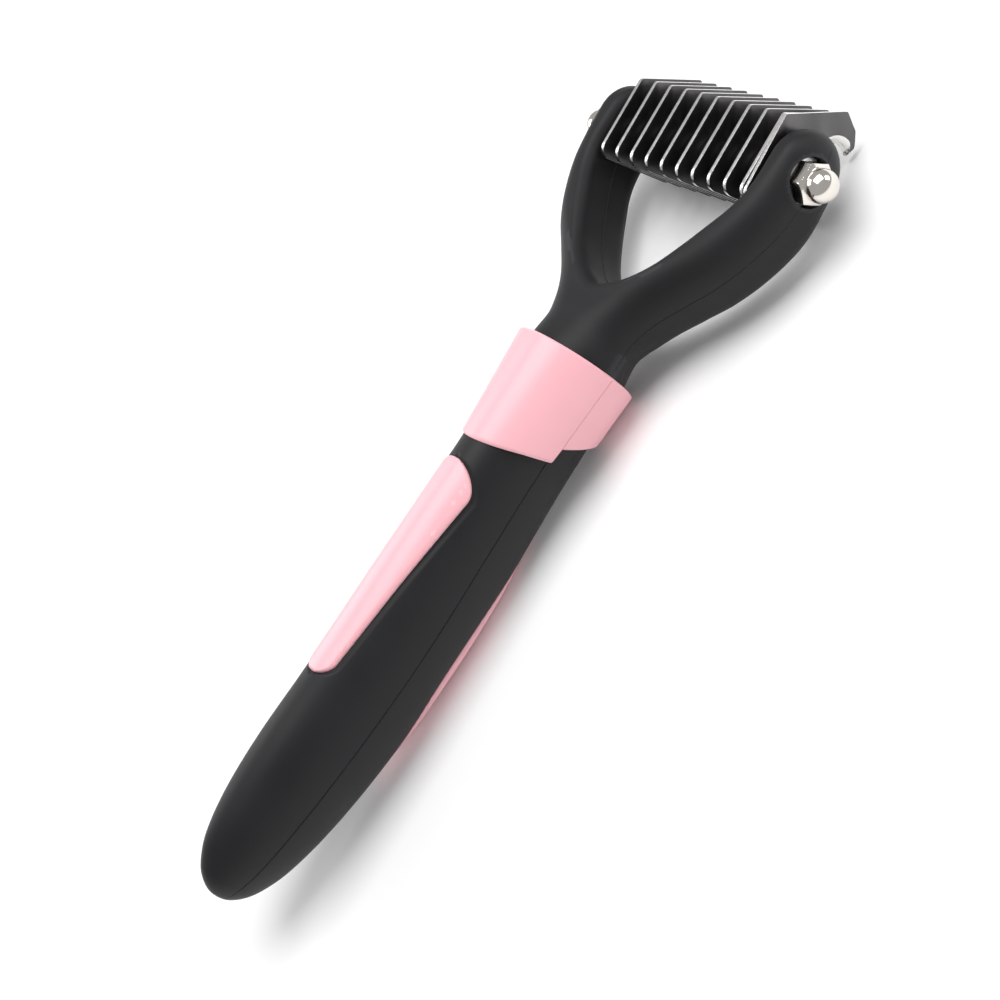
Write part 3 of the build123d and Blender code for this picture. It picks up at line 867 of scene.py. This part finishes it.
# ================================================================ handle
centre_z = curve_through([(y, z) for y, z, a, b in GRIP_STATIONS])
half_x_squared = curve_through([(y, a * a) for y, z, a, b in GRIP_STATIONS])
half_z_squared = curve_through([(y, b * b) for y, z, a, b in GRIP_STATIONS])
collar_front_edge = curve_through(COLLAR_EDGE[3:])
collar_back_edge = curve_through(COLLAR_EDGE[:3])


def handle_point(y, angle, proud=0.0):
    """A point of the grip's surface: angle 0 is the right parting line, 90 degrees the thumb side."""
    half_x = max(sqrt(max(half_x_squared(y), 0.0)) + proud, 0.001)
    half_z = max(sqrt(max(half_z_squared(y), 0.0)) + proud, 0.001)
    return (half_x * cos(angle), y, centre_z(y) + half_z * sin(angle))


def collar_edge(angle):
    """Where the collar ends along the handle, at an angle round it."""
    height = 13.5 * sin(angle)
    return collar_front_edge(height) if sin(angle) >= 0 else collar_back_edge(height)


def collar_point(y, angle, proud=0.0):
    """A point of the collar's surface."""
    share = (RIM_Y - y) / (RIM_Y - COLLAR_END_Y)
    half_x = COLLAR_RIM[0] + share * (COLLAR_END[0] - COLLAR_RIM[0]) + proud
    half_z = COLLAR_RIM[1] + share * (COLLAR_END[1] - COLLAR_RIM[1]) + proud
    middle = COLLAR_RIM_Z * (1 - share) - 0.1 * share
    return (half_x * cos(angle), y, middle + half_z * sin(angle))


def half_turn(front, count, fine):
    """Angles over the front or back half, closer together near both parting lines."""
    near = [0.0, 0.006, 0.012, 0.02, 0.03, 0.045]
    middle = steps(0.065, pi - 0.065, count) if fine else steps(0.09, pi - 0.09, count)
    angles = near + middle + [pi - angle for angle in reversed(near)]
    return angles if front else [-angle for angle in angles]


def teardrop_half_width(y):
    """Half the thumb pad's width: two circles joined by their outer tangents."""
    top = PAD_TOP_Y - PAD_WIDE_R
    end = PAD_END_Y + PAD_NARROW_R
    lean = (PAD_WIDE_R - PAD_NARROW_R) / (top - end)
    slope = sqrt(1 - lean * lean)
    if y > top - PAD_WIDE_R * lean:
        return sqrt(max(PAD_WIDE_R**2 - (y - top) ** 2, 0.0))
    if y < end - PAD_NARROW_R * lean:
        return sqrt(max(PAD_NARROW_R**2 - (y - end) ** 2, 0.0))
    return PAD_WIDE_R * slope + (y - top + PAD_WIDE_R * lean) * lean / slope


def strip_half_width(y):
    """Half the back strip's width: two shallow arcs that meet in points."""
    half = (STRIP_TOP_Y - STRIP_END_Y) / 2
    along = (y - (STRIP_TOP_Y + STRIP_END_Y) / 2) / half
    radius = (half**2 + STRIP_HALF_X**2) / (2 * STRIP_HALF_X)
    return max(sqrt(radius**2 - (along * half) ** 2) - radius + STRIP_HALF_X, 0.0)


def inlay_groove(point, front):
    """How deep the grip is pressed in along the outline of its inlay."""
    x, y, z = point
    top, end = (PAD_TOP_Y, PAD_END_Y) if front else (STRIP_TOP_Y, STRIP_END_Y)
    if y > top + 2 or y < end - 2:
        return 0.0
    if front:
        width = teardrop_half_width(min(max(y, end), top))
    else:
        width = strip_half_width(min(max(y, end), top))
    beyond = max(y - top, end - y, 0.0)
    distance = sqrt((abs(x) - width) ** 2 + beyond**2)
    return GROOVE_DEPTH * max(0.0, 1 - (distance / GROOVE_HALF_WIDTH) ** 2)


def make_grip(front):
    """One soft half of the grip, from under the collar to the rounded butt."""
    angles = half_turn(front, 92, True)
    along = steps(0, 1, 300)
    outer, inner = [], []
    for share in along:
        row_out, row_in = [], []
        for angle in angles:
            start = collar_edge(angle) + 3.0
            y = start + (BUTT_Y - start) * (1 - (1 - share) ** 1.25)
            edge = min(angle - angles[0], angles[-1] - angle) if front else min(-angle, pi + angle)
            round_off = -SEAM_ROUND * (1 - rounded_edge(abs(edge) * SEAM_SCALE, SEAM_ROUND))
            point = handle_point(y, angle, round_off)
            sunk = inlay_groove(point, front)
            row_out.append(handle_point(y, angle, round_off - sunk))
            row_in.append(handle_point(y, angle, -SKIN))
        outer.append(row_out)
        inner.append(row_in)
    name = "front" if front else "back"
    points, faces = slab(outer, inner)
    piece = mesh_piece(
        f"soft_grip_{name}", points, faces, "handle", [GRIP_RUBBER], [f"grip_{name}"]
    )
    smooth(piece, 50)


def make_collar(front):
    """One half of the hard shell: the flared collar with a round rim, and the core behind it."""
    angles = half_turn(front, 70, False)
    outer, inner = [], []
    for share in steps(0, 1, 60):
        row_out, row_in = [], []
        for angle in angles:
            end = collar_edge(angle)
            y = end + (RIM_Y - end) * share
            from_parting = min(abs(sin(angle)) * 13, 1.0)
            ease = 1 - rounded_edge(from_parting, 0.18)
            rim = 1 - rounded_edge(RIM_Y - y, 0.55)
            foot = 1 - rounded_edge(y - end, 0.3)
            row_out.append(collar_point(y, angle, -0.18 * ease - 0.5 * rim - 0.3 * foot))
            row_in.append(collar_point(y, angle, -COLLAR_WALL))
        outer.append(row_out)
        inner.append(row_in)
    points, faces = slab(outer, inner)
    core_outer, core_inner = [], []
    for y in steps(-58.0, -176.5, 60):
        core_outer.append([handle_point(y, angle, -SKIN - CORE_GAP) for angle in angles])
        core_inner.append([handle_point(y, angle, -SKIN - CORE_GAP - CORE_WALL) for angle in angles])
    core_points, core_faces = slab(core_outer, core_inner)
    shift = len(points)
    points += core_points
    faces += [tuple(index + shift for index in face) for face in core_faces]
    name = "front" if front else "back"
    piece = mesh_piece(
        f"hard_shell_{name}", points, faces, "handle", [PINK], [f"handle_shell_{name}"]
    )
    smooth(piece, 40)


def make_inlay(front):
    """The thumb pad or the back strip: proud of the grip, with a full rounded edge."""
    top, end = (PAD_TOP_Y, PAD_END_Y) if front else (STRIP_TOP_Y, STRIP_END_Y)
    half_width = teardrop_half_width if front else strip_half_width
    outer, inner = [], []
    for y in eased_steps(top - 0.02, end + 0.02, 150):
        row_out, row_in = [], []
        width = max(half_width(y) - 0.12, 0.01)
        for across in eased_steps(-1, 1, 61):
            x = across * width
            half_x = sqrt(half_x_squared(y))
            edge = min((1 - abs(across)) * width, y - end, top - y)
            proud = -INLAY_SINK + (PAD_PROUD + INLAY_SINK) * rounded_edge(edge, INLAY_ROUND)
            angle = acos(x / half_x)
            outward = angle if front else -angle
            row_out.append(handle_point(y, outward, proud))
            row_in.append(handle_point(y, outward, INLAY_ROOT))
        outer.append(row_out)
        inner.append(row_in)
    points, faces = slab(outer, inner)
    name, node = ("thumb_inlay", "thumb_pad") if front else ("back_inlay", "back_strip")
    piece = mesh_piece(name, points, faces, "handle", [PINK], [node])
    smooth(piece, 50)


# ================================================================ stage, light and camera
def make_stage():
    """A plain pale floor."""
    size = 3.0
    corners = [(-size, -size, 0), (size, -size, 0), (size, size, 0), (-size, size, 0)]
    mesh = bpy.data.meshes.new("floor")
    mesh.from_pydata([(x, y, cad_box[0][2] - 0.0002) for x, y, z in corners], [], [(0, 1, 2, 3)])
    floor = bpy.data.objects.new("floor", mesh)
    bpy.context.scene.collection.objects.link(floor)
    material, shader = new_material("floor_white")
    shader.inputs["Base Color"].default_value = (0.95, 0.95, 0.95, 1)
    shader.inputs["Roughness"].default_value = 0.9
    shader.inputs["Specular IOR Level"].default_value = 0.1
    mesh.materials.append(material)


def add_panel(name, place, target, width, height, power):
    """A soft rectangular studio light aimed at a point."""
    light = bpy.data.lights.new(name, "AREA")
    light.shape = "RECTANGLE"
    light.size = width
    light.size_y = height
    light.energy = power
    panel = bpy.data.objects.new(name, light)
    panel.location = place
    panel.rotation_euler = (Vector(place) - Vector(target)).to_track_quat("Z", "Y").to_euler()
    bpy.context.scene.collection.objects.link(panel)


def make_lights():
    """Soft white surroundings, a wide overhead panel and two weaker side panels."""
    world = bpy.data.worlds.new("studio")
    world.use_nodes = True
    world.node_tree.nodes["Background"].inputs["Color"].default_value = (1, 1, 1, 1)
    world.node_tree.nodes["Background"].inputs["Strength"].default_value = WORLD_STRENGTH
    bpy.context.scene.world = world
    for panel in LIGHT_PANELS:
        add_panel(*panel)


def make_camera():
    """The camera above the right arm, looking down along the handle's side."""
    data = bpy.data.cameras.new("camera")
    data.lens = CAMERA_LENS
    data.sensor_width = 36.0
    camera = bpy.data.objects.new("camera", data)
    spot = AXLE + Vector(CAMERA_PLACE) * MM
    turn = Matrix((CAMERA_RIGHT, CAMERA_UP, CAMERA_BACK)).transposed().to_4x4()
    camera.matrix_world = Matrix.Translation(spot) @ turn
    bpy.context.scene.collection.objects.link(camera)
    bpy.context.scene.camera = camera


# ================================================================ the scene
make_fork()
make_blades()
make_hardware()
for is_front in (True, False):
    make_grip(is_front)
    make_collar(is_front)
    make_inlay(is_front)
make_stage()
make_lights()
make_camera()
bpy.context.scene.view_settings.view_transform = "Standard"
